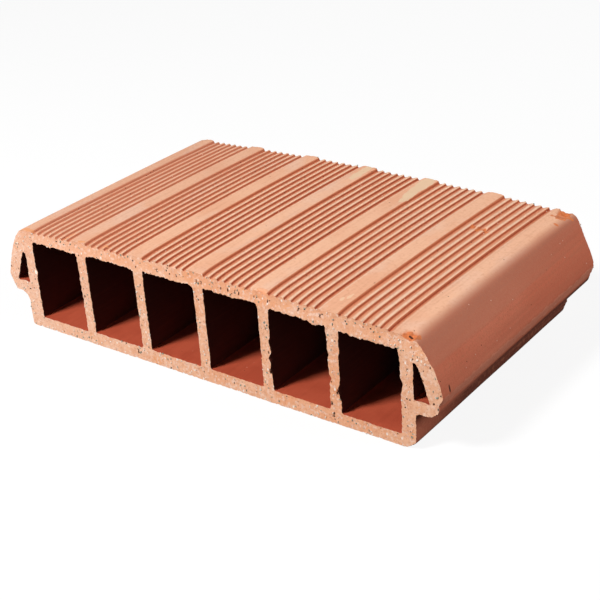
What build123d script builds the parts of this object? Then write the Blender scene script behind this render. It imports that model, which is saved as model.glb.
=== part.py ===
from build123d import *
import math
import os

# Hollow clay floor block: one piece of fired clay, pressed through a die and cut off with a wire.
# X runs across the block from nib to nib, Y along the cells, Z up from the underside.
# The origin lies on the underside, in the middle. All lengths are in millimetres.

# Overall
block_width = 450.0  # over the two nibs, before their tips are rounded
block_length = 254.0  # along the cells, between the two wire cuts where they are furthest apart
block_height = 100.0  # at the crown, in the middle of the top

# Outline of the section, alike on both sides
seat_height = 32.5  # underside of the nibs, which rests on the joists
seat_inset = 6.0  # outer end of a seat, in from the nib tip
top_inset = 21.0  # edge of the top, in from the nib tip
crown_fall = 5.4  # from the middle of the top down to its edges

# Left side: a full foot, a low nib tip and a seat that sweeps into the foot
left_nib_overhang = 21.0  # nib tip past the foot, the part that hangs over the joist
left_nib_tip_rise = 14.0  # nib tip above its seat
left_slope_bulge = 1.8  # how far the sloping side swells past a straight line
left_top_edge_radius = 5.0
left_nib_tip_radius = 6.0
left_nib_lower_radius = 3.0
left_seat_radius = 9.5
left_base_radius = 2.0
left_outer_wall = 15.0  # from the first cell to the side of the foot

# Right side: a slimmer foot, a fuller slope, and rounder edges on the foot, under the nib and on top
right_nib_overhang = 23.5
right_nib_tip_rise = 19.0
right_slope_bulge = 3.5
right_top_edge_radius = 15.0
right_nib_tip_radius = 8.0
right_nib_lower_radius = 8.0
right_seat_radius = 4.0
right_base_radius = 10.0
right_outer_wall = 12.5

# Main cells and the walls around them
cell_count = 6
web = 10.3  # between two cells
bottom_plate = 13.2  # under the cells, in the middle of the block
top_plate = 12.8  # over the cells, in the middle of the block
cell_fall_share = 0.65  # the cells follow the fall of the crown by this share
cell_ceiling_radius = 3.0
cell_floor_radius = 1.5

# Side cells, one inside each nib
side_web = 11.0  # between an outermost cell and the side cell
side_wall = 10.4  # measured level, from the side cell to the straight line of the slope
nib_floor = 10.5  # between the seat and the side cell
side_cell_ceiling_width = 3.5
side_cell_radius = 1.5

# Grooves of the top, in one panel over each main cell, with smooth lands between the panels
grooves_per_panel = 7
land_width = 15.3
land_rise = 1.2  # lands above the crests between the grooves
land_shoulder_width = 5.0  # the rounded edge of a land
land_shoulder_fall = 0.7
groove_depth = 2.1
groove_wall_share = 0.166  # of the groove pitch: the steep wall on the left of a groove
groove_ramp_share = 0.664  # of the groove pitch: the gentle ramp up to the next crest

cut_overrun = 5.0  # a cut reaches this far out of the block

half_width = block_width / 2
half_top = half_width - top_inset
top_edge_height = block_height - crown_fall
crown_radius = (half_top**2 + crown_fall**2) / (2 * crown_fall)
left_foot = half_width - left_nib_overhang
right_foot = half_width - right_nib_overhang
first_cell_edge = left_outer_wall - left_foot
last_cell_edge = right_foot - right_outer_wall
cells_middle = (first_cell_edge + last_cell_edge) / 2
cell_width = (last_cell_edge - first_cell_edge - (cell_count - 1) * web) / cell_count
cell_height = block_height - bottom_plate - top_plate
cell_pitch = cell_width + web
groove_run_share = groove_wall_share + groove_ramp_share
groove_pitch = (cell_pitch - land_width) / (grooves_per_panel - 1 + groove_run_share)


def crown_height(x):
    """Height of the smooth top at a distance across the block."""
    return block_height - crown_radius + math.sqrt(crown_radius**2 - x**2)


def crown_tilt(x):
    """Tilt of the top at a distance across the block, in degrees."""
    return -math.degrees(math.asin(x / crown_radius))


def rounded_corner(face, x, height, radius):
    """The face with its corner nearest to a point rounded."""
    corner = face.vertices().sort_by_distance((x, height, 0))[0]
    return fillet(corner, radius)


def side_outline(side, foot, tip_rise, bulge):
    """The right (1) or left (-1) side of the section, from the foot up to the edge of the top."""
    foot_corner = (side * foot, 0)
    seat_inner = (side * foot, seat_height)
    seat_outer = (side * (half_width - seat_inset), seat_height)
    nib_tip = (side * half_width, seat_height + tip_rise)
    top_edge = (side * half_top, top_edge_height)
    return Polyline(foot_corner, seat_inner, seat_outer, nib_tip) + SagittaArc(top_edge, nib_tip, side * bulge)


def outer_outline():
    """The full section before it is hollowed: foot, nibs, sloping sides and crowned top."""
    base = Line((-left_foot, 0), (right_foot, 0))
    right = side_outline(1, right_foot, right_nib_tip_rise, right_slope_bulge)
    crown = ThreePointArc((half_top, top_edge_height), (0, block_height), (-half_top, top_edge_height))
    left = side_outline(-1, left_foot, left_nib_tip_rise, left_slope_bulge)
    face = make_face(base + right + crown + left)
    face = rounded_corner(face, -half_top, top_edge_height, left_top_edge_radius)
    face = rounded_corner(face, half_top, top_edge_height, right_top_edge_radius)
    face = rounded_corner(face, seat_inset - half_width, seat_height, left_nib_lower_radius)
    face = rounded_corner(face, half_width - seat_inset, seat_height, right_nib_lower_radius)
    face = rounded_corner(face, -half_width, seat_height + left_nib_tip_rise, left_nib_tip_radius)
    face = rounded_corner(face, half_width, seat_height + right_nib_tip_rise, right_nib_tip_radius)
    face = rounded_corner(face, -left_foot, seat_height, left_seat_radius)
    face = rounded_corner(face, right_foot, seat_height, right_seat_radius)
    face = rounded_corner(face, -left_foot, 0, left_base_radius)
    return rounded_corner(face, right_foot, 0, right_base_radius)


def main_cell(x):
    """One of the wide cells, standing with its middle at x and sunk with the fall of the crown."""
    fall = cell_fall_share * (block_height - crown_height(x))
    face = Pos(x, bottom_plate - fall + cell_height / 2) * Rectangle(cell_width, cell_height)
    face = fillet(face.vertices().group_by(Axis.Y)[-1], cell_ceiling_radius)
    return fillet(face.vertices().group_by(Axis.Y)[0], cell_floor_radius)


def side_cell(side, cell_edge, tip_rise):
    """The small wedge-shaped cell inside the right (1) or left (-1) nib.

    Its inner wall is upright. Its outer wall runs beside the slope, so the slope sets its height.
    """
    inner = cell_edge + side_web
    outer = half_width - side_wall
    floor_height = seat_height + nib_floor
    ceiling_end = inner + side_cell_ceiling_width
    nib_tip_height = seat_height + tip_rise
    slope_rise = (top_edge_height - nib_tip_height) / top_inset
    ceiling_height = nib_tip_height + slope_rise * (outer - ceiling_end)
    wedge = Polyline(
        (side * inner, floor_height),
        (side * outer, floor_height),
        (side * ceiling_end, ceiling_height),
        (side * inner, ceiling_height),
        close=True,
    )
    face = make_face(wedge)
    return fillet(face.vertices(), side_cell_radius)


def groove_panel():
    """What one panel of grooves takes off the top: a row of saw teeth, sunk below the lands.

    It also rounds the two lands beside it, and is drawn around the middle of the panel, with zero at
    the height of the lands.
    """
    end = (cell_pitch - land_width) / 2
    shoulder = end + land_shoulder_width
    teeth = [(-end, -land_shoulder_fall)]
    for number in range(grooves_per_panel):
        x = -end + number * groove_pitch
        if number > 0:
            teeth.append((x, -land_rise))
        teeth.append((x + groove_wall_share * groove_pitch, -land_rise - groove_depth))
        if number < grooves_per_panel - 1:
            teeth.append((x + groove_run_share * groove_pitch, -land_rise))
    teeth.append((end, -land_shoulder_fall))
    left_land = TangentArc((-shoulder, 0), (-end, -land_shoulder_fall), tangent=(1, 0))
    right_land = TangentArc((shoulder, 0), (end, -land_shoulder_fall), tangent=(-1, 0))
    above = Polyline((-shoulder, 0), (-shoulder, cut_overrun), (shoulder, cut_overrun), (shoulder, 0))
    return make_face(left_land + Polyline(*teeth) + right_land + above)


def block_section():
    """The cellular section that the die presses."""
    face = outer_outline()
    panel = groove_panel()
    for number in range(cell_count):
        x = cells_middle + (number - (cell_count - 1) / 2) * cell_pitch
        face -= main_cell(x)
        face -= Pos(x, crown_height(x)) * Rot(0, 0, crown_tilt(x)) * panel
    face -= side_cell(-1, -first_cell_edge, left_nib_tip_rise)
    return face - side_cell(1, last_cell_edge, right_nib_tip_rise)


floor_block = extrude(Plane.XZ * block_section(), amount=block_length / 2, both=True)
floor_block.label = "floor_block"

os.makedirs("parts", exist_ok=True)
export_step(floor_block, "parts/floor_block.step")

box = floor_block.bounding_box().size
print(f"floor_block {box.X:.1f} x {box.Y:.1f} x {box.Z:.1f} mm, {floor_block.volume / 1e6:.3f} litres of clay")
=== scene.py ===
# %% [markdown]
# # A hollow clay floor block
# The real block is one piece of fired clay that fills the gap between two floor joists.
# A press pushes the clay through a die, so every long face and every cell is the same all along.
# A wire then cuts the block off, so both ends are torn, pitted and a little uneven.
# This lesson starts from the exact CAD block and dresses it as that clay: one mesh with three finishes,
# and the grit that the wire laid open.

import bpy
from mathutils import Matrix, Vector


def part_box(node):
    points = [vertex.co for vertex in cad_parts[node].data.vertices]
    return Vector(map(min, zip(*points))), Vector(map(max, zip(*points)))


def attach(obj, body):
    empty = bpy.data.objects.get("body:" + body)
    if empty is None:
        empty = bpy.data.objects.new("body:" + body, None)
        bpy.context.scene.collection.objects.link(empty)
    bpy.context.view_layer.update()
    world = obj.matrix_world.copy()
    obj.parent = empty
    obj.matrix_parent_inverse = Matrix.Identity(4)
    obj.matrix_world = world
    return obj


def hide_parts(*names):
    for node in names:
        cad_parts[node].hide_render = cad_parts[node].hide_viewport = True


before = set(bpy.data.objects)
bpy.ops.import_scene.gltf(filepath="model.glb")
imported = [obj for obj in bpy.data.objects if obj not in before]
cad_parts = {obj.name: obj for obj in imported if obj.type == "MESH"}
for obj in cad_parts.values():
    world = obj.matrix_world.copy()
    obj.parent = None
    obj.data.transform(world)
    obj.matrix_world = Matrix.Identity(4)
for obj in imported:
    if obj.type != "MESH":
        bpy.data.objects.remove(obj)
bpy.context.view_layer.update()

# %% Units and libraries
import math

import bmesh
import bpy
import numpy as np
from mathutils import Matrix, Vector, geometry, kdtree, noise

MM = 0.001  # the lesson thinks in millimetres, and Blender in metres
scene = bpy.context.scene
scene.view_settings.view_transform = "Standard"
print("Blender", bpy.app.version_string)

# %% [markdown]
# ## The section
# The die gives the block its section, so the section is where the mesh starts.
# It could be drawn again from its sizes, but then it could drift away from the CAD model.
# Instead it is read from the flat front end of the CAD node: the edges that only one triangle of
# that end uses are its outlines, one around the block and one around each cell.

# %% Read the outlines of the section
def end_outlines(node, end_y):
    """The closed outlines of the end at end_y, as (x, z) in mm, each with the clay on its left."""
    place = [(round(v.co.x / MM, 3), round(v.co.z / MM, 3)) for v in node.data.vertices]
    edges = set()
    for face in node.data.polygons:
        corners = list(face.vertices)
        if all(abs(node.data.vertices[c].co.y - end_y) < 0.01 * MM for c in corners):
            edges.update((place[a], place[b]) for a, b in zip(corners, corners[1:] + corners[:1]))
    ahead = {a: b for a, b in sorted(edges) if (b, a) not in edges}
    outlines = []
    while ahead:
        first, point = ahead.popitem()
        outline = [first]
        while point != first:
            outline.append(point)
            point = ahead.pop(point)
        outlines.append(np.array(outline))
    return sorted(outlines, key=lambda o: (-round(np.ptp(o[:, 0])), o[:, 0].mean()))


low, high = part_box("floor_block")
front_y, back_y = low.y / MM, high.y / MM
block_length, block_height = back_y - front_y, high.z / MM
raw_outlines = end_outlines(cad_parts["floor_block"], low.y)
print(len(raw_outlines), "outlines, with", [len(o) for o in raw_outlines], "points")

# %% Divide the outlines finely enough for torn edges
point_spacing = 1.1  # mm along an outline


def divided(outline, spacing):
    """The outline with its corners kept and its long stretches divided evenly."""
    points = []
    for start, end in zip(outline, np.roll(outline, -1, axis=0)):
        steps = max(1, math.ceil(np.linalg.norm(end - start) / spacing))
        points += [start + (end - start) * step / steps for step in range(steps)]
    return np.array(points)


def softened(outline):
    """The outline with its corners eased, as wet clay leaves them."""
    return 0.6 * outline + 0.2 * (np.roll(outline, 1, axis=0) + np.roll(outline, -1, axis=0))


def outward(outline):
    """Directions that point out of the clay, at each point of an outline."""
    along = np.roll(outline, -1, axis=0) - np.roll(outline, 1, axis=0)
    out = np.stack([along[:, 1], -along[:, 0]], axis=1)
    return out / np.linalg.norm(out, axis=1, keepdims=True)


outlines = [softened(divided(o, point_spacing)) for o in raw_outlines]
directions = [outward(o) for o in outlines]
print(sum(len(o) for o in outlines), "points in one section")

# %% [markdown]
# ## The grooves
# The top is combed by the die: seven saw teeth to a panel. The crests are painted pale, a painted highlight,
# and down in a groove the clay is painted brick red, partly redder clay and partly painted shade, most of
# all on its steep wall.
# So the finish needs to know how deep in a groove each point lies. A texture could guess that from its
# place.
# Measuring it on the outline, by how deep rain would stand there, always fits the grooves.

# %% The crown, and how far a point stands above the crests
top_level = 88.0  # mm, all that lies higher belongs to the top
half_grooved = 187.0  # mm, the outermost grooves end this far from the middle
crown_radius = 3856.0  # mm
land_rise = 1.2  # mm, the smooth lands stand that much above the crests


def above_crests(x, z):
    """How far a point of the top lies above the level of the crests, in mm."""
    return z - (block_height - x * x / (2 * crown_radius) - land_rise)


print("the crests fall", round(half_grooved**2 / (2 * crown_radius), 1), "mm from the middle to the sides")

# %% Measure the grooves for their painted highlight and shade
groove_reach = 7.5  # mm, a little more than one groove
full_depth = 2.1  # mm, as deep as a groove gets
crest_highlight = -0.3  # marks a crest, for its painted highlight
crest_band = 0.25  # mm, how near to the crest level a crest lies
lying_from = 0.68  # a face takes the pale top colour, partly painted light, once its direction points up by more than this
left_edge = 190.0  # mm from the middle
left_fade = 0.4  # the painted highlight and shade of the grooves fade towards the left edge, by this share at most


def ramp(value, start, full):
    """0 up to the start, 1 from where it is full, and even in between."""
    return min(1.0, max(0.0, (value - start) / (full - start)))


def shade_and_red_clay_along(outline, out):
    """Below 0 on the crests, 0 on the lands, 0.5 at the foot of a ramp, and up to 1 on a steep wall."""
    top = outline[outline[:, 1] > top_level]
    shelters = np.zeros(len(outline))
    for index, (x, z) in enumerate(outline):
        if z > top_level and abs(x) < half_grooved:
            near = top[np.abs(top[:, 0] - x) < groove_reach]
            left, right = near[near[:, 0] <= x], near[near[:, 0] >= x]
            depth = (min(left[:, 1].max(), right[:, 1].max()) - z) / full_depth
            steep = ramp(out[index][0], 0.3, 0.7)
            is_crest = depth < 0.1 and abs(above_crests(x, z)) < crest_band
            shelters[index] = crest_highlight if is_crest else 0.5 * depth + 0.5 * steep
    return shelters


def top_light_along(outline, out):
    """How pale each point is: 1 all over the top, and less and less over its round edges."""
    lying = np.clip((out[:, 1] - lying_from) / (1 - lying_from), 0, 1) ** 2
    return np.where(np.abs(outline[:, 0]) < half_grooved, 1.0, lying) * (outline[:, 1] > top_level)


groove_shade_and_red_clay = shade_and_red_clay_along(outlines[0], directions[0])
leftness = np.clip(-outlines[0][:, 0] / left_edge, 0, 1) * (groove_shade_and_red_clay != 0)
groove_shade_and_red_clay = groove_shade_and_red_clay * (1 - left_fade * leftness) + 0.1 * leftness
top_light_share = top_light_along(outlines[0], directions[0])
print(int((groove_shade_and_red_clay > 0.6).sum()), "points on steep walls")
print(int((groove_shade_and_red_clay < 0).sum()), "points on crests")

# %% [markdown]
# ## The torn ends
# The wire drags grains along, so a cut end is uneven, its rims are ragged, and burrs hang into the cells.
# Displacing the finished mesh with a texture would tear it evenly everywhere.
# Here each rim point gets its own push from a smooth noise, stronger under a cell's ceiling than on its
# floor, and the push dies away a few millimetres behind the cut.

# %% Roughness of the clay, and how the wire ran
def rough(x, y, z, size, seed):
    """Smooth noise from about -1 to 1, with lumps of a size in mm."""
    return noise.noise(Vector((x / size + 31.7 * seed, y / size, z / size)))


FRONT, BACK = 0, 50  # seeds of the two cuts
cut_inset = 0.45  # mm, how far a cut lies inside the flat end of the CAD block
cut_waves = ((45, 0.3), (5, 0.12), (2.3, 0.22))  # the unevenness of a cut: sizes and heights in mm
back_lean = 5.0  # mm, the foot of the back cut lies that much further in than its top
back_bow = 4.7  # mm, and so does its left side, because the wire bowed
bow_width = 330.0  # mm, measured from the side of the left foot
left_foot = -200.0  # mm from the middle
front_drag = 1.2  # mm, the wire dragged the top rim of the front end inwards as it came down


def cut_depth(x, z, end):
    """How far the wire cut lies inside the flat end of the CAD block, in mm."""
    depth = cut_inset
    for number, (size, height) in enumerate(cut_waves):
        depth += height * rough(x, 0, z, size, end + number)
    if end == BACK:
        depth += back_lean * (1 - (z / block_height) ** 2)
        depth += back_bow * max(0.0, 1 - ((x - left_foot) / bow_width) ** 2)
    else:
        depth += front_drag * ramp(above_crests(x, z), -12, -2) * ramp(x, -195, -170)
    return max(0.05, depth)


print("the foot of the back cut lies", round(cut_depth(0, 5, BACK), 1), "mm in")

# %% Burrs and tears that stand out at the front
# place across and up, how far it reaches, and how far the rim moves: a burr is positive, in mm
rim_marks = {
    "burr under the ceiling of the fifth cell": (114, 85.5, 9, 3.2),
    "burr under the ceiling of the third cell": (-32, 87, 22, 1.1),
    "burr under the ceiling of the fifth cell, left": (88, 86.3, 14, 1.2),
    "burr under the ceiling of the sixth cell, left": (148, 85, 16, 2.6),
    "burr under the ceiling of the sixth cell, right": (175, 84.5, 16, 2.8),
    "torn wall of the fifth cell, high": (70, 56, 4, -1.8),
    "torn wall of the fifth cell, middle": (70, 41, 4, -2.2),
    "torn wall of the fifth cell, low": (70, 31, 5, -1.6),
    "bite in the fifth web, left": (124.5, 40.5, 3, -2.4),
    "bite in the fifth web, upper left": (124.5, 61, 3, -1.2),
    "bite in the fifth web, right": (134.5, 31, 5, -1.8),
    "bite in the last wall": (189, 54, 4, -1.6),
    "burr on the first wall": (-189.5, 56, 2.5, 1.5),
    "burr in the right side cell": (207, 73, 3, 1.6),
    "burr on the floor of the right side cell": (208, 43.5, 7, 1.2),
    "burr on the floor of the left side cell": (-207, 43.5, 6, 1.0),
    "crumbled tip of the right nib": (224, 45, 4, -1.4),
    "crumbled edge under the right nib": (218, 34, 4, -1.2),
    "crumbled corner of the right foot": (197, 2, 4, -1.2),
    "burr down the left foot": (-204, 14, 12, 0.7),
    "burr down the left slope": (-215, 78, 14, 0.7),
}


def nearness(x, z, mark_x, mark_z, reach):
    """1 at a mark on the section, and less around it, over a reach in mm."""
    return math.exp(-((x - mark_x) ** 2 + (z - mark_z) ** 2) / reach**2)


def marked_push(x, z):
    """What the burrs and tears that stand out add at a rim point, in mm."""
    return sum(move * nearness(x, z, *place) for *place, move in rim_marks.values())


print(len(rim_marks), "burrs and tears that stand out")

# %% Burrs and tears everywhere else
tear_waves = ((6.5, 0.6), (3, 0.55), (1.7, 0.6))  # sizes in mm, and how much each counts
ceiling_tear, floor_tear, wall_tear = 1.8, 0.6, 0.8  # mm, on the rims of the cells
underside_tear, outer_tear = 1.7, 0.9  # mm, on the rim around the block


def rim_push(x, z, out, is_cell, seed):
    """How far a rim point leaves its outline, in mm: a burr is positive, a torn edge is negative."""
    tear = 0.0
    for number, (size, share) in enumerate(tear_waves):
        tear += share * rough(x, seed, z, size, seed + 2 + number)
    if is_cell:
        strength = ceiling_tear if out[1] < -0.5 else floor_tear if out[1] > 0.5 else wall_tear
        return -0.2 + strength * tear
    strength = underside_tear if out[1] < -0.5 else outer_tear
    return -0.05 + min(0.0, strength * tear)


# %% Places along the block where the section is repeated
from_cut = [0.0, 0.5, 1.2, 2.2, 3.8, 6.5, 11.0, 20.0]  # mm, close together near a cut
cell_gaps, outer_gaps = 4, 8  # further apart between the ends
scar_station = 186.0  # mm from the front, where the grooves are scarred
scar_steps = [-7.5, -6.0, -4.5, -3.0, -1.5, 0.0, 1.5, 3.0, 4.5, 6.0, 7.5]  # mm
scar_room = 12.0  # mm, other sections keep that far from the middle of the scar


def stations_along(gaps):
    """Distances from the front cut, close together near both cuts."""
    middle = np.linspace(from_cut[-1], block_length - from_cut[-1], gaps + 1)[1:-1]
    return from_cut + list(middle) + [block_length - s for s in reversed(from_cut)]


cell_stations = stations_along(cell_gaps)
clear_of_scar = [s for s in stations_along(outer_gaps) if abs(s - scar_station) > scar_room]
outer_stations = sorted(clear_of_scar + [scar_station + step for step in scar_steps])
print(len(outer_stations), "sections around the block and", len(cell_stations), "in each cell")

# %% One section of the block
burr_reach, tear_reach = 1.6, 2.8  # mm behind the cut
left_sink = 2.0  # mm, the left side drew in towards the back as the clay dried
right_sink = 2.6  # mm, and so did the middle of the right slope
slope_start, slope_middle, slope_reach = 195.0, 75.0, 15.0  # mm, across, up and up
settled = 0.7  # the lands lost this share of their rise, but not at the back, where the wire lifted them
lifted = 25.0  # mm in front of the back cut
drift = 4.8  # mm, the top strayed to the left, and the wire drew half of that back at the front
drawn_back_share = 0.5
drift_reach = 12.0  # mm behind the front cut
drift_from = 75.0  # mm up, below that nothing strayed
worn_edge = 1.4  # mm, rubbed off the left edge of the top
worn_place = (-204, 94, 6)  # mm, across, up and reach


def section_points(number, station):
    """The points of one outline at one place along the block, in mm."""
    is_cell = number > 0
    behind = min(station, block_length - station)
    end, inwards = (FRONT, 1) if station < block_length / 2 else (BACK, -1)
    late = (station / block_length) ** 2
    strayed = drift * (1 - (station / block_length) ** 3)
    drawn_back = math.exp(-station / drift_reach)
    lost = settled * ramp(block_length - station, 0, lifted)
    points = []
    for (x, z), out in zip(outlines[number], directions[number]):
        y = front_y + station
        push = 0.0
        if behind < from_cut[-1]:
            tear = rim_push(x, z, out, is_cell, end + 7 * number)
            if end == FRONT:
                tear += marked_push(x, z)
            push = tear * math.exp(-behind / (burr_reach if tear > 0 else tear_reach))
            y += inwards * cut_depth(x, z, end) * (1 - behind / from_cut[-1])
        push += 0.2 * rough(x, y, z, 55, 5 + number) - (0 if is_cell else 0.1)
        sideways = left_sink * late * ramp(x, -150, left_foot)
        if not is_cell and x > slope_start:
            sideways -= right_sink * late * math.exp(-(((z - slope_middle) / slope_reach) ** 2))
        if not is_cell and z > drift_from:
            share = ramp(x, -208, -182) * ramp(z, drift_from, 95)
            sideways -= strayed * share * (1 - drawn_back_share * drawn_back)
            push -= worn_edge * nearness(x, z, *worn_place)
        if not is_cell and z > top_level:
            z -= lost * max(0.0, above_crests(x, z)) * ramp(abs(x), 200, 190)
        points.append((x + push * out[0] + sideways, y, z + push * out[1]))
    return points


# %% Lay the sections one behind the other
SKIN, CELL, CUT = 0, 1, 2
vertices, faces, face_finish = [], [], []
shade_and_red_clay, top_light = [], []
front_rim, back_rim = [], []  # first point of each outline at the two cuts
for number, outline in enumerate(outlines):
    count = len(outline)
    stations = cell_stations if number else outer_stations
    front_rim.append(len(vertices))
    for step, station in enumerate(stations):
        here = len(vertices)
        vertices += section_points(number, station)
        shade_and_red_clay += [0.0] * count if number else list(groove_shade_and_red_clay)
        top_light += [0.0] * count if number else list(top_light_share)
        if step < len(stations) - 1:
            ring = [(k, (k + 1) % count) for k in range(count)]
            faces += [(here + k, here + n, here + count + n, here + count + k) for k, n in ring]
            face_finish += [CELL if number else SKIN] * count
    back_rim.append(len(vertices) - count)
print(len(faces), "faces along the block")

# %% [markdown]
# ## Closing the ends
# Each end is a flat web of clay with eight holes in it, and it has to join the ragged rims point by point.
# A Delaunay triangulation does that: it takes the rims as fixed edges and fills the clay between them
# with points on a loose grid, which then carry the unevenness of the cut.
# Slits and pits get rings of points of their own, so they are real hollows and not only dark spots.

# %% Slits that the wire dragged open at the front
# height of the middle, half height, half width and depth, and the places across, in mm
slits = {
    "in the top plate": (91.5, 2.2, 0.6, 1.8, (-43, -22, -1, 4, 24, 31, 38, 42, 57, 70, 99, 119)),
    "in the bottom plate": (7.5, 3.4, 0.7, 2.2, (-76, 127)),
    "high in the webs": (67, 2.3, 0.7, 1.4, (66, 195)),
    "low in the webs": (29, 3.4, 0.8, 2.0, (60, 67.5, 131.5)),
    "at the foot of the fifth web": (17.5, 2.6, 0.8, 2.0, (126,)),
    "beside the torn wall": (46, 2.0, 0.7, 1.8, (67.5, -132)),
    "at the rims of the floors": (9.3, 0.7, 1.0, 1.6, (158, 170, 185)),
    "in the right nib": (45, 1.5, 0.8, 1.6, (217, 221.5)),
}
front_slits = [(x, *sizes[:4]) for sizes in slits.values() for x in sizes[4]]
print(len(front_slits), "slits in the front end")

# %% Pits that the wire left anywhere
pits_per_end = 80
tries_per_pit = 3  # most of an end is cells, so many tries miss the clay
pit_sizes = (0.35, 0.8)  # mm, smallest and largest radius
pit_shape = np.array([1.3, 0.8, 1.5])  # half height, half width and depth, in radii


def inside(points, loops):
    """Whether each (x, z) point lies in the clay: inside an odd number of loops."""
    odd = np.zeros(len(points), bool)
    for loop in loops:
        for (x0, z0), (x1, z1) in zip(loop, np.roll(loop, -1, axis=0)):
            if z0 != z1:
                crosses = (points[:, 1] > min(z0, z1)) & (points[:, 1] <= max(z0, z1))
                odd ^= crosses & (points[:, 0] < x0 + (points[:, 1] - z0) * (x1 - x0) / (z1 - z0))
    return odd


def scattered_pits(loops, random):
    """Small pits anywhere in the clay of an end, each as place, half height, half width and depth."""
    lowest, highest = loops[0].min(axis=0), loops[0].max(axis=0)
    spots = random.uniform(lowest, highest, (pits_per_end * tries_per_pit, 2))
    spots = spots[inside(spots, loops)][:pits_per_end]
    sizes = random.uniform(*pit_sizes, len(spots))
    return [(x, z, *(size * pit_shape)) for (x, z), size in zip(spots, sizes)]


# %% Points inside an end
grid = 1.7  # mm between points
grid_stray = 0.35  # of the grid, so that it does not show
rim_clearance = 0.6  # mm, no loose point comes nearer to a rim
pit_clearance = 0.5  # mm, and no point of the grid comes nearer to a pit
pit_wobble = 0.25  # of a pit's radius
pit_rings = {1.0: 8, 0.55: 6, 0.0: 1}  # share of a pit's radius, and the points on that ring


def loose_points(loops, pits, random):
    """Points in the clay as (x, z), with the depth of the pit that each one lies in, in mm."""
    lowest, highest = loops[0].min(axis=0), loops[0].max(axis=0)
    xs, zs = np.meshgrid(np.arange(lowest[0], highest[0], grid), np.arange(lowest[1], highest[1], grid))
    points = np.stack([xs.ravel(), zs.ravel()], axis=1)
    points += random.uniform(-grid_stray, grid_stray, points.shape) * grid
    rings, ring_depths = [], []
    for x, z, half_height, half_width, depth in pits:
        reach = np.array([half_width, half_height])
        points = points[np.linalg.norm((points - (x, z)) / (reach + pit_clearance), axis=1) > 1]
        for share, count in pit_rings.items():
            turns = np.arange(count) * math.tau / count
            wobble = 1 + random.uniform(-pit_wobble, pit_wobble, count)
            across = x + share * half_width * wobble * np.cos(turns)
            rings += list(zip(across, z + share * half_height * wobble * np.sin(turns)))
            ring_depths += [depth * (1 - share)] * count
    points = np.concatenate([points, rings])
    hollow = np.concatenate([np.zeros(len(points) - len(rings)), ring_depths])
    rim_points = kdtree.KDTree(sum(len(loop) for loop in loops))
    for index, (x, z) in enumerate(np.concatenate(loops)):
        rim_points.insert((x, 0, z), index)
    rim_points.balance()
    clear = np.array([rim_points.find((x, 0, z))[2] > rim_clearance for x, z in points])
    kept = inside(points, loops) & clear
    return points[kept], hollow[kept]


# %% Fill an end with triangles
pitted = [0.0] * len(vertices)
merge_distance = 1e-4  # mm, points that are nearer become one


def close_end(rims, end, end_y, inwards, end_slits):
    """Closes the end whose rims start at the given points, and returns how many triangles it took."""
    random = np.random.default_rng(end + 3)
    rim_index, loops, edges = [], [], []
    for first, outline in zip(rims, outlines):
        at, count = len(rim_index), len(outline)
        rim_index += range(first, first + count)
        edges += [(at + k, at + (k + 1) % count) for k in range(count)]
        loops.append(np.array([(vertices[first + k][0], vertices[first + k][2]) for k in range(count)]))
    loose, hollow = loose_points(loops, end_slits + scattered_pits(loops, random), random)
    flat = [Vector(p) for p in np.concatenate(loops + [loose])]
    coords, _, triangles, sources = geometry.delaunay_2d_cdt(flat, edges, [], 1, merge_distance)[:4]
    index = []
    for point, source in zip(coords, sources):
        rim = [s for s in source if s < len(rim_index)]
        if rim:
            index.append(rim_index[rim[0]])
            continue
        pit = hollow[source[0] - len(rim_index)] if source else 0.0
        index.append(len(vertices))
        vertices.append((point.x, end_y + inwards * (cut_depth(point.x, point.y, end) + pit), point.y))
        pitted.append(min(1.0, pit))
        shade_and_red_clay.append(0.0)
        top_light.append(0.0)
    middles = np.array([[sum(coords[c][axis] for c in t) / 3 for axis in (0, 1)] for t in triangles])
    kept = [t for t, clay in zip(triangles, inside(middles, loops)) if clay]
    faces.extend(tuple(index[c] for c in t) for t in kept)
    face_finish.extend([CUT] * len(kept))
    return len(kept)


print(close_end(front_rim, FRONT, front_y, 1, front_slits), "triangles in the front end")
print(close_end(back_rim, BACK, back_y, -1, []), "triangles in the back end")

# %% [markdown]
# ## Chips
# The block has been handled: corners are knocked off, and the fresh clay there is more orange.
# Each chip is a rough ball that bites into the block. Points inside the ball move along one direction
# until they reach its far side, so the skin stays closed and no cutting tool is needed.

# %% Knock off the chips
# seed, place, reach along x, y and z, the way the points move, in mm, and how fresh the clay is
scar_y = front_y + scar_station
chip_grain, chip_wobble = 3.5, 0.35  # the wavy edge of a chip: lumps in mm, and share of its reach
chips = {
    "front top corner, right": (0, (196, front_y + 4.5, 97), (8, 7.5, 5), (0, 0.3, -1), 0.9),
    "front edge over the fifth web": (1, (65, front_y + 1, 101), (7, 5, 3.6), (0, 0.6, -1), 0.6),
    "front edge over the third cell": (3, (-27, front_y + 0.5, 101), (5, 3, 3), (0, 0.6, -1), 0.6),
    "back top corner, right": (4, (199, back_y - 4, 97), (9, 11, 5), (0, 0, -1), 1),
    "scar across the grooves, left": (5, (147, scar_y - 1, 98.2), (4.5, 5, 4), (0, 0, -1), 0.4),
    "scar across the grooves, right": (6, (155, scar_y + 1, 97.8), (4.5, 5, 4), (0, 0, -1), 0.4),
    "back foot corner, right": (8, (202, back_y - 4, 4), (7, 7, 6), (-1, -0.6, 0.4), 0.3),
}


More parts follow.
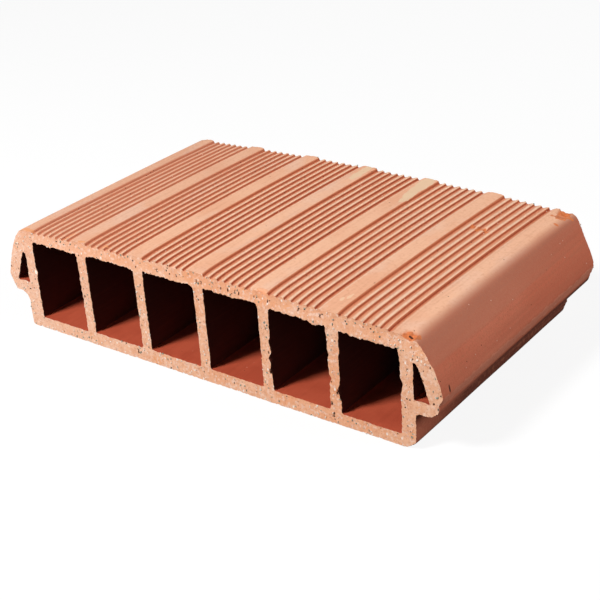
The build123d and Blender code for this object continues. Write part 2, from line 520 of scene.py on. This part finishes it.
def bitten(points, centre, reach, way, seed):
    """Moves the points that a chip takes, and returns how fresh the clay is at each point."""
    reach = np.array(reach, float)
    way = np.array(way, float) / reach
    way /= np.linalg.norm(way)
    local = (points - np.array(centre, float)) / reach
    fresh = np.zeros(len(points))
    for index in np.nonzero(np.linalg.norm(local, axis=1) < 1.3)[0]:
        size = 1 + chip_wobble * rough(*points[index], chip_grain, seed)
        here = local[index] / size
        if here @ here < 1:
            along = here @ way
            far = math.sqrt(along * along + 1 - here @ here) - along
            points[index] = np.array(centre) + (here + far * way) * size * reach
            fresh[index] = min(1.0, 3 * far)
    return fresh


points = np.array(vertices)
fresh = np.zeros(len(points))
for name, (seed, centre, reach, way, freshness) in chips.items():
    bite = bitten(points, centre, reach, way, seed)
    fresh = np.maximum(fresh, freshness * bite)
    print(name, "moved", int((bite > 0).sum()), "points")
points = np.clip(points, np.array(low) / MM, np.array(high) / MM)

# %% Make the block
sharp_angle = math.radians(42)  # steeper edges stay sharp
block_mesh = bpy.data.meshes.new("floor_block_clay")
block_mesh.from_pydata([tuple(p * MM) for p in points], [], faces)
block_mesh.polygons.foreach_set("material_index", face_finish)
marks = {"fresh": fresh, "shade_and_red_clay": shade_and_red_clay, "top_light": top_light, "pitted": pitted}
for name, values in marks.items():
    block_mesh.attributes.new(name, "FLOAT", "POINT").data.foreach_set("value", values)
shell = bmesh.new()
shell.from_mesh(block_mesh)
bmesh.ops.recalc_face_normals(shell, faces=shell.faces)
# some edges stay open at the front rim over the sixth cell: its burrs push the groove walls there
# across each other
open_edges = sum(not edge.is_manifold for edge in shell.edges)
shell.to_mesh(block_mesh)
shell.free()
block_mesh.shade_smooth()
block_mesh.set_sharp_from_angle(angle=sharp_angle)
floor_block = bpy.data.objects.new("floor_block_clay", block_mesh)
scene.collection.objects.link(floor_block)
triangle_count = sum(len(p.vertices) - 2 for p in block_mesh.polygons)
print("block:", triangle_count, "triangles,", open_edges, "open edges")

# %% [markdown]
# ## Fired clay
# Unglazed fired clay is matt and a little rough. Its colour comes from iron: peach on the top and brick red
# on the sides, the difference partly painted light on the top and painted shade on the sides. Its IOR is
# close to that of most minerals.
# Three finishes show on this block: the skin that the die smoothed, the inside of the cells, and the torn
# ends.

# %% A helper for colours and one for nodes
def linear(hex_colour):
    """An sRGB hex colour as the linear values that Blender works with."""
    parts = [int(hex_colour[i : i + 2], 16) / 255 for i in (1, 3, 5)]
    return [c / 12.92 if c <= 0.04045 else ((c + 0.055) / 1.055) ** 2.4 for c in parts] + [1.0]


def add(tree, kind, inputs=None, output=0, **settings):
    """Adds a node with settings by name and inputs by name or number, and gives back one of its outputs."""
    node = tree.nodes.new(kind)
    for name, value in settings.items():
        setattr(node, name, value)
    for name, value in (inputs or {}).items():
        if isinstance(value, bpy.types.NodeSocket):
            tree.links.new(value, node.inputs[name])
        else:
            node.inputs[name].default_value = value
    return node.outputs[output] if node.outputs else None


print("brick red as Blender mixes it:", [round(c, 3) for c in linear("#963A22")])


# %% Patterns that fired clay shows
def lumps(tree, place, size, detail=3.0, stretch=(1, 1, 1)):
    """Soft noise with lumps of a size in mm, drawn out along an axis where stretch is small."""
    moved = add(tree, "ShaderNodeMapping", {"Vector": place, "Scale": stretch})
    return add(tree, "ShaderNodeTexNoise", {"Vector": moved, "Scale": 1 / (size * MM), "Detail": detail})


def specks(tree, place, spacing, radius, share, stretch=(1, 1, 1)):
    """1 in small round specks of a radius in mm, of which only a share is shown, else 0."""
    moved = add(tree, "ShaderNodeMapping", {"Vector": place, "Scale": stretch})
    reach = add(tree, "ShaderNodeTexVoronoi", {"Vector": moved, "Scale": 1 / (spacing * MM)})
    edge = radius / spacing
    spot = add(tree, "ShaderNodeMapRange", {0: reach, 1: edge, 2: edge * 0.7})
    chance = add(tree, "ShaderNodeSeparateColor", {0: reach.node.outputs["Color"]})
    shown = add(tree, "ShaderNodeMath", {0: chance, 1: share}, operation="LESS_THAN")
    return add(tree, "ShaderNodeMath", {0: spot, 1: shown}, operation="MULTIPLY")


def oval(tree, place, centre, half_sizes, ragged=0.3):
    """1 inside an oval with uneven edges at a place on the block, with half sizes in mm, else 0."""
    scale = [1 / (h * MM) for h in half_sizes]
    shift = [-c / h for c, h in zip(centre, half_sizes)]
    moved = add(tree, "ShaderNodeMapping", {"Vector": place, "Location": shift, "Scale": scale})
    reach = add(tree, "ShaderNodeVectorMath", {0: moved}, "Value", operation="LENGTH")
    edge = {0: lumps(tree, place, 8, 1), 1: 0.3, 2: 0.7, 3: -ragged, 4: ragged}
    edge = add(tree, "ShaderNodeMapRange", edge)
    torn = add(tree, "ShaderNodeMath", {0: reach, 1: edge}, operation="ADD")
    return add(tree, "ShaderNodeMapRange", {0: torn, 1: 1.0, 2: 0.92})


def painted(tree, ground, layers):
    """A ground colour under layers: each a pattern, where it starts and is full, its strength and colour."""
    for pattern, start, full, strength, colour in layers:
        share = add(tree, "ShaderNodeMapRange", {0: pattern, 1: start, 2: full, 4: strength})
        ground = add(tree, "ShaderNodeMix", {0: share, 6: ground, 7: colour}, 2, data_type="RGBA")
    return ground


# %% What the three finishes share
def broken(tree, place):
    """The colour of broken clay: orange, and rust brown in its hollows."""
    return painted(tree, linear("#DE7E4A"), [(lumps(tree, place, 4, 3), 0.45, 0.62, 0.8, linear("#B5633A"))])


def new_finish(name, roughness):
    """An empty clay material: its tree, its shader and its Object coordinates."""
    material = bpy.data.materials.new(name)
    material.use_nodes = True
    tree = material.node_tree
    shader = tree.nodes["Principled BSDF"]
    shader.inputs["Roughness"].default_value = roughness
    shader.inputs["IOR"].default_value = 1.5
    shader.inputs["Specular IOR Level"].default_value = 0.25
    return material, tree, shader, add(tree, "ShaderNodeTexCoord", output="Object")


def dress(tree, shader, colour, relief, depth):
    """Gives the shader its colour, and a relief that is worth a depth in mm."""
    tree.links.new(colour, shader.inputs["Base Color"])
    add(tree, "ShaderNodeBump", {"Height": relief, "Distance": depth * MM, "Strength": 0.6})
    tree.links.new(tree.nodes["Bump"].outputs[0], shader.inputs["Normal"])


# %% The skin that the die smoothed
# middles and half sizes in mm
pale_patches = [
    ((0, front_y + 236, 99), (4.5, 18, 9)),
    ((64.5, front_y + 235, 98), (6, 30, 9)),
    ((66.5, front_y + 207, 98), (3.5, 13, 9)),
]
fresh_spots = [
    ((144, scar_y + 1.5, 97), (2.2, 2.6, 9)),
    ((149, scar_y - 0.5, 97), (2.4, 3.4, 9)),
    ((154, scar_y + 0.5, 97), (2.0, 2.4, 9)),
    ((158, scar_y - 1.5, 97), (1.6, 1.8, 9)),
    ((201, front_y + 225, 95), (2.0, 1.2, 5)),
    ((197, front_y + 5, 94), (8, 4.8, 5)),
    ((199, front_y + 244, 95), (8, 8, 8)),
]
small_marks = [
    ("#EFA06A", (-197, front_y + 3, 95), (7, 2.5, 9)),
    ("#EFA06A", (-149.5, front_y + 7, 95), (2.2, 8, 9)),
    ("#EFA06A", (-131.5, front_y + 4, 96), (5, 2.2, 9)),
    ("#EFA06A", (-105, front_y + 6, 97), (2, 3.5, 9)),
    ("#F0AA80", (63, front_y + 3.5, 98), (7, 2.5, 9)),
    ("#FAD2AE", (127, front_y + 30, 98), (1.4, 5, 9)),
    ("#FAD2AE", (124, front_y + 24, 98), (1.8, 3, 9)),
    ("#FAD2AE", (-181.5, front_y + 70, 95), (1, 2.5, 9)),
]
# painted shade: dark spots for hollows at the front right
hole_shade = [((223, front_y + 11, 55), (4, 1.1, 4)), ((196.5, front_y + 5.5, 95), (2.4, 1.4, 4))]
# a painted highlight along the rounded edge of the right nib
nib_edge_highlight = ((223, 0, 47.5), (9, 600, 4.2))


def drawn_skin():
    """Peach on top, brick red on the sides and in the grooves, with painted light and shade, drag lines
    along the block and pits.
    """
    material, tree, shader, place = new_finish("fired clay, drawn smooth by the die", 0.85)
    normal = add(tree, "ShaderNodeNewGeometry", output="Normal")
    up = add(tree, "ShaderNodeSeparateXYZ", {0: normal}, 2)
    across = add(tree, "ShaderNodeSeparateXYZ", {0: place}, 0)
    along, height = across.node.outputs[1], across.node.outputs[2]
    # painted shade: the foot under the right nib is painted darker than the lamps leave it, more so behind
    # the front
    under = add(tree, "ShaderNodeMapRange", {0: height, 1: 42 * MM, 2: 39 * MM})
    under = add(tree, "ShaderNodeMapRange", {0: across, 1: 194 * MM, 2: 201 * MM, 4: under})
    growing = {0: along, 1: (front_y - 32) * MM, 2: (front_y + 72) * MM, 4: under}
    under = add(tree, "ShaderNodeMapRange", growing)
    shade_and_red_clay = add(tree, "ShaderNodeAttribute", output="Fac", attribute_name="shade_and_red_clay")
    top_light = add(tree, "ShaderNodeAttribute", output="Fac", attribute_name="top_light")
    fresh = add(tree, "ShaderNodeAttribute", output="Fac", attribute_name="fresh")
    drag = lumps(tree, place, 2.5, 2, (1, 0.03, 1))
    pits = specks(tree, place, 6.5, 0.55, 0.16)
    caught = specks(tree, place, 5, 0.6, 0.5)
    caught = add(tree, "ShaderNodeMath", {0: caught, 1: shade_and_red_clay}, operation="MULTIPLY")
    top = painted(tree, linear("#F8C09D"), [
        (lumps(tree, place, 70, 4), 0.42, 0.62, 0.8, linear("#F1B28E")),
        (lumps(tree, place, 30, 4, (1, 0.5, 1)), 0.52, 0.66, 0.6, linear("#F5C9AF")),
    ])
    sides = painted(tree, linear("#E98869"), [
        (lumps(tree, place, 45, 4, (1, 0.4, 1)), 0.4, 0.62, 0.8, linear("#DC7657")),
        (lumps(tree, place, 5, 3, (1, 0.02, 1)), 0.48, 0.68, 0.3, linear("#C96C52")),
        # painted shade: greyer where the sides turn up into the round edge of the top
        (up, 0.4, 0.7, 0.75, linear("#AD715A")),
        (height, 72 * MM, 52 * MM, 0.3, linear("#B05A42")),
        # painted highlight along the edge of the right nib
        (oval(tree, place, *nib_edge_highlight), 0, 1, 0.35, linear("#F3A98C")),
        (lumps(tree, place, 1.5, 2), 0.48, 0.68, 0.35, linear("#C4684C")),
        # painted shade on the foot under the right nib
        (under, 0, 1, 0.9, linear("#55281C")),
    ])
    colour = painted(tree, sides, [
        # partly painted light: the top is painted paler than the sides
        (top_light, 0, 1, 1, top),
        # painted highlight on the crests; in the grooves partly redder clay and partly painted shade,
        # darkest on the steep walls
        (shade_and_red_clay, 0, crest_highlight, 1, linear("#FBD1B2")),
        (shade_and_red_clay, 0.05, 0.5, 1, linear("#CB744E")),
        (shade_and_red_clay, 0.5, 0.85, 1, linear("#963A22")),
        # painted shade: greyer towards the left side
        (across, -60 * MM, -200 * MM, 0.25, linear("#CB9A85")),
        (lumps(tree, place, 2.6, 3), 0.5, 0.75, 0.3, linear("#CC8361")),
        (drag, 0.5, 0.8, 0.22, linear("#C77C5E")),
        *((oval(tree, place, *patch, 0.2), 0, 1, 0.9, linear("#F1CDA9")) for patch in pale_patches),
        (specks(tree, place, 6, 0.5, 0.3), 0, 1, 0.8, linear("#F4D8C4")),
        (pits, 0, 1, 1, linear("#6A2F20")),
        (caught, 0.2, 0.4, 1, linear("#4A2016")),
        *((oval(tree, place, *mark, 0.5), 0, 1, 0.7, linear(tone)) for tone, *mark in small_marks),
        *((oval(tree, place, *spot, 0.5), 0, 1, 0.9, broken(tree, place)) for spot in fresh_spots),
        (fresh, 0, 1, 1, broken(tree, place)),
        # painted shade in hollows at the front right
        *((oval(tree, place, *hole), 0, 1, 1, linear("#4E2A1C")) for hole in hole_shade),
    ])
    relief = add(tree, "ShaderNodeMath", {0: lumps(tree, place, 0.9, 3), 1: pits}, operation="SUBTRACT")
    dress(tree, shader, colour, relief, 0.3)
    return material


# %% The inside of the cells
def cell_skin():
    """Deep red, with painted light and shade: bright on the floor of a cell, dark brown on its walls, and
    darkest deep inside.
    """
    material, tree, shader, place = new_finish("fired clay, inside a cell", 0.9)
    normal = add(tree, "ShaderNodeNewGeometry", output="Normal")
    up = add(tree, "ShaderNodeSeparateXYZ", {0: normal}, 2)
    fresh = add(tree, "ShaderNodeAttribute", output="Fac", attribute_name="fresh")
    along = add(tree, "ShaderNodeSeparateXYZ", {0: place}, 1)
    from_middle = add(tree, "ShaderNodeMath", {0: along}, operation="ABSOLUTE")
    drag = lumps(tree, place, 2.5, 2, (1, 0.03, 1))
    floors = painted(tree, linear("#C6573A"), [
        (lumps(tree, place, 22), 0.4, 0.62, 0.7, linear("#BA4D32")),
        (drag, 0.5, 0.8, 0.3, linear("#A8452C")),
        (specks(tree, place, 7, 0.55, 0.25), 0, 1, 0.8, linear("#E0B08F")),
        (specks(tree, place, 6, 0.5, 0.2), 0, 1, 0.8, linear("#6A2618")),
    ])
    colour = painted(tree, linear("#4E2018"), [
        (drag, 0.5, 0.8, 0.5, linear("#5E2A1E")),
        # painted light and shade: the floors are painted bright, the walls dark
        (up, 0.3, 0.9, 1, floors),
        # painted shade: near black deep inside the cells
        (from_middle, 75 * MM, 40 * MM, 0.85, linear("#120705")),
        (fresh, 0, 1, 1, broken(tree, place)),
    ])
    dress(tree, shader, colour, lumps(tree, place, 1.0, 2), 0.3)
    return material


# %% The torn ends
# middles and half sizes in mm
white_grain = ((-190, front_y, 55.5), (1.5, 6, 2))
warm_patches = [((115, front_y, 28), (46, 20, 40)), ((57, front_y, 93), (22, 20, 7))]
dragged = (1, 1, 0.6)  # the wire ran down the end, so the specks are drawn out that way


def torn_clay():
    """Salmon, mottled and grainy, with dark pits and orange patches where the wire opened the clay."""
    material, tree, shader, place = new_finish("fired clay, torn by the wire", 0.95)
    hollow = add(tree, "ShaderNodeAttribute", output="Fac", attribute_name="pitted")
    fresh = add(tree, "ShaderNodeAttribute", output="Fac", attribute_name="fresh")
    across = add(tree, "ShaderNodeSeparateXYZ", {0: place}, 0)
    height = across.node.outputs[2]
    colour = painted(tree, linear("#F2B995"), [
        (lumps(tree, place, 7, 4), 0.45, 0.65, 0.6, linear("#E5A27D")),
        (lumps(tree, place, 10, 3), 0.55, 0.68, 0.6, linear("#F8CDB2")),
        (lumps(tree, place, 16, 3), 0.58, 0.68, 0.6, linear("#F0A26C")),
        (lumps(tree, place, 60, 2), 0.5, 0.62, 0.5, linear("#EDA47A")),
        (across, -40 * MM, -190 * MM, 0.35, linear("#F8CDB4")),
        (height, 84 * MM, 95 * MM, 0.35, linear("#DC946C")),
        *((oval(tree, place, *patch), 0, 1, 0.4, linear("#F0A070")) for patch in warm_patches),
        (lumps(tree, place, 2.6, 3), 0.54, 0.62, 0.6, linear("#FAD8C4")),
        (lumps(tree, place, 1.3, 2), 0.54, 0.66, 0.55, linear("#CC8260")),
        (specks(tree, place, 4.6, 0.9, 0.22, dragged), 0, 1, 0.9, linear("#FBEADC")),
        (specks(tree, place, 5.5, 0.9, 0.22, dragged), 0, 1, 0.8, linear("#96917E")),
        (specks(tree, place, 5.5, 0.6, 0.14, dragged), 0, 1, 0.9, linear("#5E4033")),
        # painted shade in the hollows of the slits and pits
        (hollow, 0, 1, 1, linear("#33201A")),
        (oval(tree, place, *white_grain), 0, 1, 1, linear("#FFF4E2")),
        (fresh, 0, 1, 1, broken(tree, place)),
    ])
    dress(tree, shader, colour, lumps(tree, place, 1.4, 4), 0.5)
    return material


for finish in (drawn_skin(), cell_skin(), torn_clay()):
    block_mesh.materials.append(finish)
    print("finish:", finish.name)

# %% [markdown]
# ## Grit
# The wire lays open the grit in the clay: white lime, grey-green crushed brick and dark iron.
# Painting hundreds of grains one by one is slow work, so Geometry Nodes scatter small rough stones over
# the cut faces. The wire shears them off, so whatever stands out of the block is pressed flush with it.

# %% The cut faces as a surface to scatter on
cut_faces = [tuple(p.vertices) for p in block_mesh.polygons if p.material_index == CUT]
cut_mesh = bpy.data.meshes.new("cut_faces")
cut_mesh.from_pydata([v.co.copy() for v in block_mesh.vertices], [], cut_faces)
print(len(cut_faces), "cut faces to scatter on")


# %% A tree that scatters grit
def grit_tree(name, material):
    """Scatters small stones over a surface, with their number, sizes and seed as inputs."""
    tree = bpy.data.node_groups.new(name, "GeometryNodeTree")
    wanted = {"Surface": "Geometry", "Stones per square metre": "Float", "Smallest": "Vector"}
    wanted |= {"Largest": "Vector", "Seed": "Int"}
    for label, kind in wanted.items():
        tree.interface.new_socket(label, in_out="INPUT", socket_type="NodeSocket" + kind)
    tree.interface.new_socket("Stones", in_out="OUTPUT", socket_type="NodeSocketGeometry")
    given = add(tree, "NodeGroupInput").node.outputs
    seed = given["Seed"]
    links = {"Mesh": given["Surface"], "Density": given["Stones per square metre"], "Seed": seed}
    spots = add(tree, "GeometryNodeDistributePointsOnFaces", links, "Points")
    stone = add(tree, "GeometryNodeMeshIcoSphere", {"Radius": 1.0, "Subdivisions": 1}, "Mesh")
    links = {0: (-0.6, -0.6, -0.6), 1: (0.6, 0.6, 0.6), "Seed": seed}
    turn = add(tree, "FunctionNodeRandomValue", links, data_type="FLOAT_VECTOR")
    links = {0: given["Smallest"], 1: given["Largest"], "Seed": seed}
    size = add(tree, "FunctionNodeRandomValue", links, data_type="FLOAT_VECTOR")
    links = {"Points": spots, "Instance": stone, "Rotation": turn, "Scale": size}
    stones = add(tree, "GeometryNodeInstanceOnPoints", links)
    real = add(tree, "GeometryNodeRealizeInstances", {0: stones})
    add(tree, "NodeGroupOutput", {0: add(tree, "GeometryNodeSetMaterial", {0: real, "Material": material})})
    return tree


def stone_finish(name, hex_colour, second_colour):
    """A matt mineral with two tones."""
    material, tree, shader, place = new_finish(name, 0.85)
    tone = (lumps(tree, place, 1.5, 2), 0.4, 0.6, 1, linear(second_colour))
    dress(tree, shader, painted(tree, linear(hex_colour), [tone]), lumps(tree, place, 0.5, 2), 0.1)
    return material


# %% Scatter the grit
def scatter_grit(name, material, per_square_metre, largest, seed):
    """Grit on the cut faces as one plain mesh, flush with the ends of the block; largest is in mm."""
    source = bpy.data.objects.new(name, cut_mesh.copy())
    scene.collection.objects.link(source)
    modifier = source.modifiers.new("grit", "NODES")
    modifier.node_group = grit_tree(name, material)
    inputs = {s.name: s.identifier for s in modifier.node_group.interface.items_tree if s.in_out == "INPUT"}
    modifier[inputs["Stones per square metre"]] = float(per_square_metre)
    modifier[inputs["Smallest"]] = [0.3 * MM, 0.3 * MM, 0.4 * MM]
    modifier[inputs["Largest"]] = [largest * MM, largest * MM, 1.4 * largest * MM]
    modifier[inputs["Seed"]] = seed
    bpy.context.view_layer.update()
    mesh = bpy.data.meshes.new_from_object(source.evaluated_get(bpy.context.evaluated_depsgraph_get()))
    bpy.data.objects.remove(source)
    for vertex in mesh.vertices:
        vertex.co = [min(max(c, lowest), highest) for c, lowest, highest in zip(vertex.co, low, high)]
    mesh.name = name
    piece = bpy.data.objects.new(name, mesh)
    scene.collection.objects.link(piece)
    print(name, len(mesh.polygons) // 20, "stones")
    return piece


lime = stone_finish("lime, white grains in the clay", "#F6E9DC", "#E9D3C0")
grog = stone_finish("crushed brick, grey-green grains", "#A9AB99", "#83877A")
iron = stone_finish("iron ore, dark grains", "#4A352B", "#2B1F1A")
grit = [
    scatter_grit("lime_grains", lime, 11000, 1.0, 11),
    scatter_grit("grog_grains", grog, 8000, 1.0, 12),
    scatter_grit("iron_grains", iron, 3000, 0.8, 13),
]

# %% Put the block in the place of the CAD node
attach(floor_block, "root")
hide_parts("floor_block")
for piece in grit:
    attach(piece, "root")
print("in place of the CAD node:", [floor_block.name] + [piece.name for piece in grit])

# %% [markdown]
# ## Floor, light and camera
# The photo has a white ground and one soft light, high on the left of the block's cut end: it lights the
# floor of each cell for a hand's width, and leaves the walls of the cells dark.
# Three lights fill in: a long low one in front for the cut end, a large one on the right for the slope,
# and a long low one behind, so that the back end can be seen as well.
# The ground is a pale floor that shows white to the camera and still takes the block's shadow.

# %% The floor
half = 6.0  # m, half the width of the floor
floor_level = -0.2 * MM  # just under the block, so that the two faces do not mix
corners = ((-half, -half), (half, -half), (half, half), (-half, half))
floor_mesh = bpy.data.meshes.new("pale_floor")
floor_mesh.from_pydata([(x, y, floor_level) for x, y in corners], [], [(0, 1, 2, 3)])
floor = bpy.data.objects.new("pale_floor", floor_mesh)
scene.collection.objects.link(floor)


def pale_floor():
    """White paper: to the camera mostly its own white, so that only the shadow darkens it."""
    material = bpy.data.materials.new("white paper floor")
    material.use_nodes = True
    tree = material.node_tree
    tree.nodes.remove(tree.nodes["Principled BSDF"])
    seen = add(tree, "ShaderNodeLightPath", output="Is Camera Ray")
    shaded = add(tree, "ShaderNodeBsdfDiffuse", {"Color": linear("#6E6E6E")})
    glow = add(tree, "ShaderNodeEmission", {"Color": linear("#FFFFFF"), "Strength": 0.87})
    white = add(tree, "ShaderNodeAddShader", {0: shaded, 1: glow})
    paper = add(tree, "ShaderNodeBsdfDiffuse", {"Color": linear("#484848")})
    either = add(tree, "ShaderNodeMixShader", {0: seen, 1: paper, 2: white})
    tree.links.new(either, tree.nodes["Material Output"].inputs["Surface"])
    return material


floor_mesh.materials.append(pale_floor())
print("floor", 2 * half, "m wide")

# %% The light
ambient = 0.05  # what the white surroundings add
world = bpy.data.worlds.new("white studio")
world.use_nodes = True
tree = world.node_tree
rays = add(tree, "ShaderNodeLightPath").node.outputs
mirrored = {0: rays["Is Glossy Ray"], 1: rays["Is Transmission Ray"]}
mirrored = add(tree, "ShaderNodeMath", mirrored, operation="MAXIMUM")
seen = add(tree, "ShaderNodeMath", {0: rays["Is Camera Ray"], 1: mirrored}, operation="MAXIMUM")
strength = add(tree, "ShaderNodeMapRange", {0: seen, 3: ambient, 4: 1.0})
tree.nodes["Background"].inputs["Color"].default_value = linear("#FFFFFF")
tree.links.new(strength, tree.nodes["Background"].inputs["Strength"])
scene.world = world


def soft_box(name, direction, distance, width, height, strength):
    """A lamp that lights a face turned to it by a strength, where 1 shows a colour as it is written."""
    lamp = bpy.data.lights.new(name, "AREA")
    lamp.energy = strength * math.pi**2 * distance**2
    lamp.shape = "RECTANGLE"
    lamp.size, lamp.size_y = width, height
    box = bpy.data.objects.new(name, lamp)
    towards = Vector(direction).normalized()
    box.location = towards * distance
    box.rotation_euler = towards.to_track_quat("Z", "Y").to_euler()
    scene.collection.objects.link(box)
    print(name, "at", [round(c, 2) for c in box.location], "with", round(lamp.energy), "W")


soft_box("key light", (-0.27, -0.61, 0.74), 2.2, 0.42, 0.42, 0.85)
soft_box("front fill", (-0.40, -0.91, 0.06), 2.6, 1.2, 0.28, 0.385)
soft_box("side fill", (0.82, 0.23, 0.52), 2.6, 1.2, 1.2, 0.47)
soft_box("back fill", (-0.25, 0.96, 0.06), 2.6, 1.2, 0.28, 0.3)

# %% The camera
camera_place = Vector((0.65322, -0.83388, 0.56168))
camera_right = Vector((0.80718, 0.58674, -0.06486))
camera_up = Vector((-0.22256, 0.40424, 0.88716))
focal_pixels = 1347.9  # for a picture 600 pixels wide
picture_width = 600
camera_data = bpy.data.cameras.new("camera")
camera_data.sensor_width = 36
camera_data.lens = focal_pixels / picture_width * camera_data.sensor_width
camera = bpy.data.objects.new("camera", camera_data)
axes = Matrix((camera_right, camera_up, camera_right.cross(camera_up))).transposed()
camera.matrix_world = Matrix.Translation(camera_place) @ axes.to_4x4()
scene.collection.objects.link(camera)
scene.camera = camera
print("lens", round(camera_data.lens, 1), "mm")
